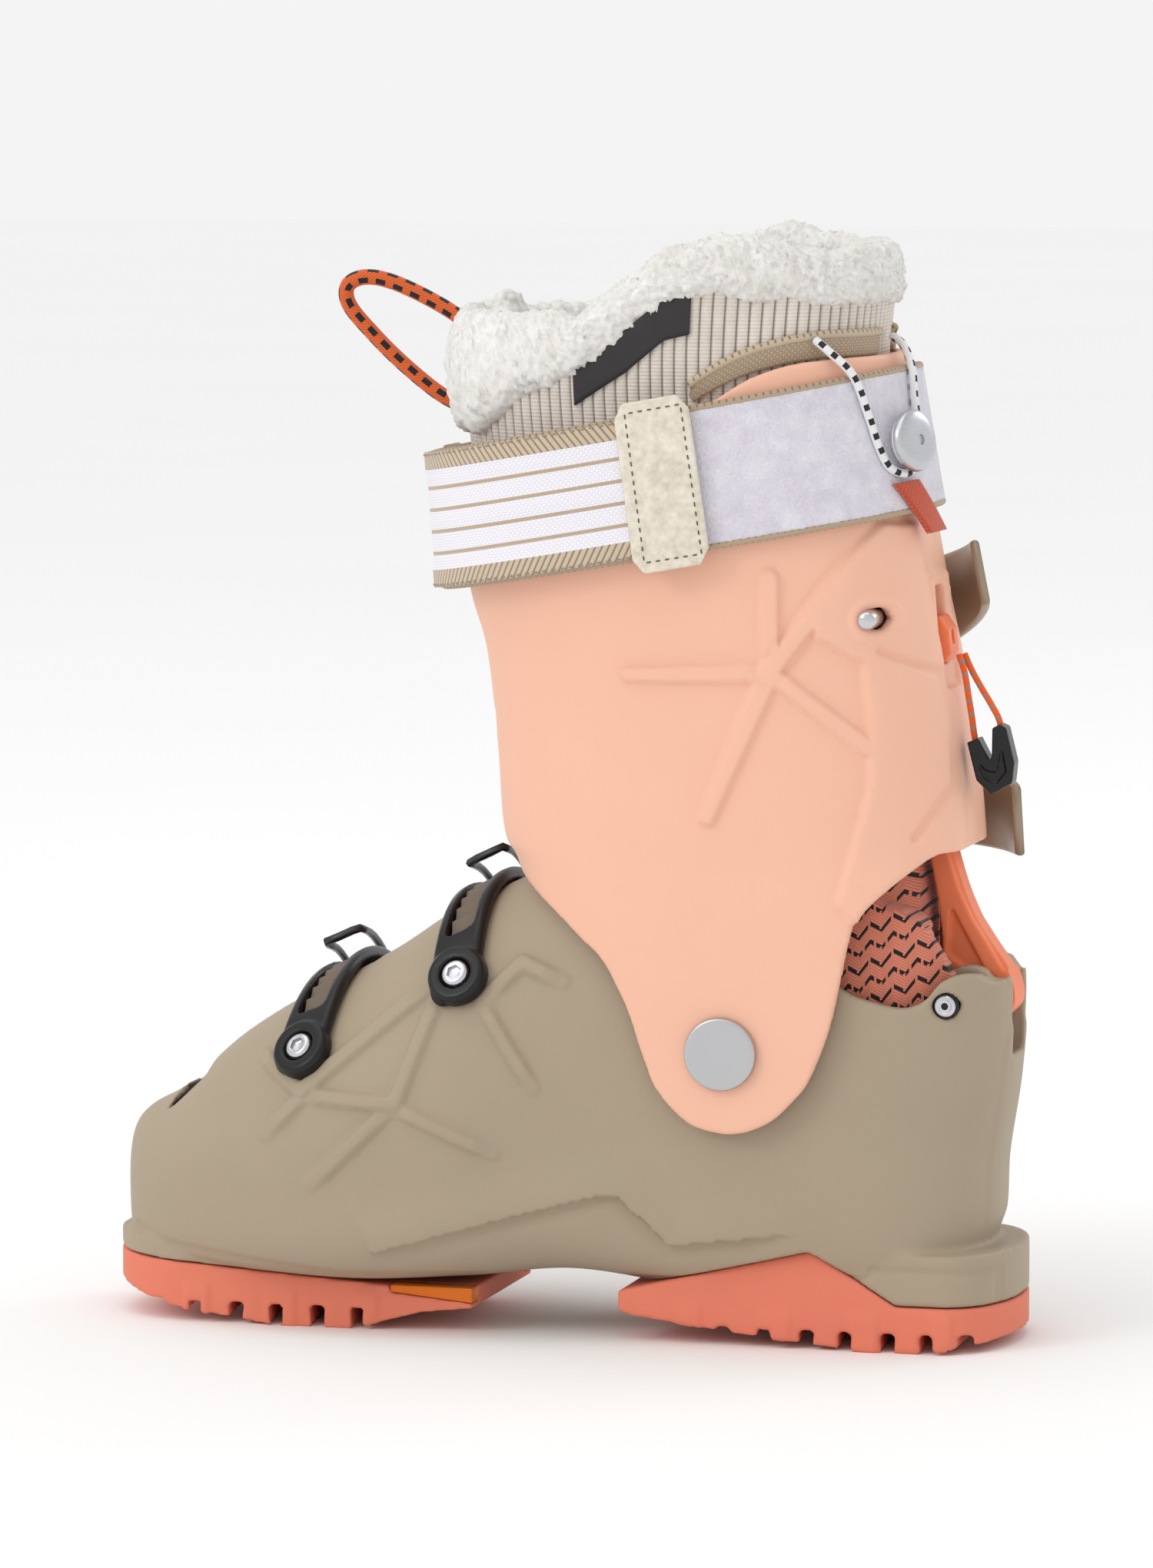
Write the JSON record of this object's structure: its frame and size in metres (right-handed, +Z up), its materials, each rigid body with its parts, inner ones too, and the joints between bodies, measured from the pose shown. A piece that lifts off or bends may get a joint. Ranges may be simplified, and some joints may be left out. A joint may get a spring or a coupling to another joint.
{
  "type": "alpine ski boot",
  "caption": "Alpine ski boot with overlapping plastic shell, hinged cuff, buckles, walk mechanism, rubber soles and a fur-lined padded liner.",
  "frame": {"origin": "on the ground, under the middle of the sole's length and on its centre line", "axes": "+X from toe to heel, +Y to the outer side of the right foot, +Z up"},
  "size_m": [0.285, 0.1282, 0.337],
  "materials": {
    "shell_plastic": "satin moulded polyurethane, warm taupe",
    "cuff_plastic": "satin moulded polyurethane, peach",
    "sole_rubber": "matte coral rubber with lugs",
    "glide_plastic": "smooth orange plastic",
    "strut_plastic": "satin coral plastic",
    "black_plastic": "satin black plastic",
    "black_rubber": "matte black rubber",
    "rack_plastic": "satin brown grey plastic",
    "steel": "bright steel",
    "aluminium": "turned satin aluminium",
    "lever_metal": "satin taupe anodised aluminium",
    "liner_fabric": "corduroy with upright wales",
    "liner_textile": "coral woven textile with a black zigzag",
    "fur": "off-white curly pile",
    "strap_webbing": "pale woven webbing and loop pile",
    "suede": "beige suede with stitching",
    "board_foam": "dense grey foam",
    "cord_fabric": "orange braid with black ticks",
    "lace_fabric": "white braid with black ticks"
  },
  "bodies": {
    "shell": {"ladder_frame_toe": "black_plastic", "ladder_rack_toe": "rack_plastic", "ladder_screw_toe": "steel", "ladder_frame_instep": "black_plastic", "ladder_rack_instep": "rack_plastic", "ladder_screw_instep": "steel", "buckle_base_toe": "lever_metal", "buckle_rivet_toe": "steel", "buckle_base_instep": "lever_metal", "buckle_rivet_instep": "steel", "pivot_bolt_inner": "aluminium", "pivot_nut_inner": "steel", "pivot_bolt_outer": "aluminium", "pivot_nut_outer": "steel", "lower_shell": "shell_plastic", "toe_gasket": "black_rubber", "front_outsole": "sole_rubber", "glide_insert_inner": "glide_plastic", "glide_insert_outer": "glide_plastic", "heel_outsole": "sole_rubber", "sole_screw_toe_inner": "steel", "sole_screw_toe_outer": "steel", "sole_screw_heel_inner": "steel", "sole_screw_heel_outer": "steel", "boot_board": "board_foam", "liner_foot": "liner_textile", "footbed": "fur", "link_pin": "steel"},
    "cuff": {"cuff": "cuff_plastic", "liner_shaft": "liner_fabric", "fur_collar": "fur", "liner_tongue": "fur", "power_strap": "strap_webbing", "strap_wrap": "strap_webbing", "strap_tab": "suede", "lock_pin": "steel", "pull_loop": "cord_fabric", "lace": "lace_fabric", "lace_lock": "aluminium", "lace_tab": "cord_fabric", "ladder_cuff_lower": "black_plastic", "ladder_cuff_upper": "black_plastic", "buckle_base_cuff_lower": "lever_metal", "buckle_rivet_cuff_lower": "steel", "buckle_base_cuff_upper": "lever_metal", "buckle_rivet_cuff_upper": "steel"},
    "strut": {"strut": "strut_plastic"},
    "slider": {"hike_slider": "strut_plastic", "hike_cord_front": "cord_fabric", "hike_cord_rear": "cord_fabric", "hike_grip": "black_plastic"},
    "lever_toe": {"lever_toe": "lever_metal"},
    "bale_toe": {"bale_toe": "steel"},
    "lever_instep": {"lever_instep": "lever_metal"},
    "bale_instep": {"bale_instep": "steel"},
    "lever_cuff_lower": {"lever_cuff_lower": "lever_metal"},
    "bale_cuff_lower": {"bale_cuff_lower": "steel"},
    "lever_cuff_upper": {"lever_cuff_upper": "lever_metal"},
    "bale_cuff_upper": {"bale_cuff_upper": "steel"}
  },
  "joints": [
    {"name": "cuff_lean", "type": "hinge", "parent": "shell", "child": "cuff", "pos_m": [0.0595, 0, 0.091], "axis": [0, 1, 0], "range_deg": [0, 20]},
    {"name": "strut_swing", "type": "hinge", "parent": "shell", "child": "strut", "pos_m": [0.1245, 0, 0.1055], "axis": [0, 1, 0], "range_deg": [0, 26]},
    {"name": "hike_slide", "type": "slide", "parent": "cuff", "child": "slider", "axis": [-0.19, 0, 0.9818], "range_m": [0, 0.008]},
    {"name": "lever_toe_open", "type": "hinge", "parent": "shell", "child": "lever_toe", "pos_m": [-0.07344, 0.04521, 0.08819], "axis": [0.9411, 0.0995, 0.3231], "range_deg": [0, 110]},
    {"name": "bale_toe_swing", "type": "hinge", "parent": "lever_toe", "child": "bale_toe", "pos_m": [-0.07456, 0.05388, 0.0805], "axis": [0.9411, 0.0995, 0.3231], "range_deg": [-112, 0]},
    {"name": "lever_instep_open", "type": "hinge", "parent": "shell", "child": "lever_instep", "pos_m": [-0.02407, 0.04422, 0.1133], "axis": [0.878, -0.1105, 0.4657], "range_deg": [0, 110]},
    {"name": "bale_instep_swing", "type": "hinge", "parent": "lever_instep", "child": "bale_instep", "pos_m": [-0.02382, 0.05239, 0.10519], "axis": [0.878, -0.1105, 0.4657], "range_deg": [-112, 0]},
    {"name": "lever_cuff_lower_open", "type": "hinge", "parent": "cuff", "child": "lever_cuff_lower", "pos_m": [0.04893, 0.05627, 0.1606], "axis": [0.0683, 0.0138, 0.9976], "range_deg": [0, 110]},
    {"name": "bale_cuff_lower_swing", "type": "hinge", "parent": "lever_cuff_lower", "child": "bale_cuff_lower", "pos_m": [0.07081, 0.05992, 0.16062], "axis": [0.0683, 0.0138, 0.9976], "range_deg": [-112, 0]},
    {"name": "lever_cuff_upper_open", "type": "hinge", "parent": "cuff", "child": "lever_cuff_upper", "pos_m": [0.04776, 0.05809, 0.20575], "axis": [-0.1166, 0.0607, 0.9913], "range_deg": [0, 110]},
    {"name": "bale_cuff_upper_swing", "type": "hinge", "parent": "lever_cuff_upper", "child": "bale_cuff_upper", "pos_m": [0.06673, 0.0617, 0.20601], "axis": [-0.1166, 0.0607, 0.9913], "range_deg": [-112, 0]}
  ],
  "couplings": [
    {"joint": "strut_swing", "follows": "cuff_lean", "ratio": 1.27},
    {"joint": "bale_toe_swing", "follows": "lever_toe_open", "ratio": -1},
    {"joint": "bale_instep_swing", "follows": "lever_instep_open", "ratio": -1},
    {"joint": "bale_cuff_lower_swing", "follows": "lever_cuff_lower_open", "ratio": -1},
    {"joint": "bale_cuff_upper_swing", "follows": "lever_cuff_upper_open", "ratio": -1}
  ]
}
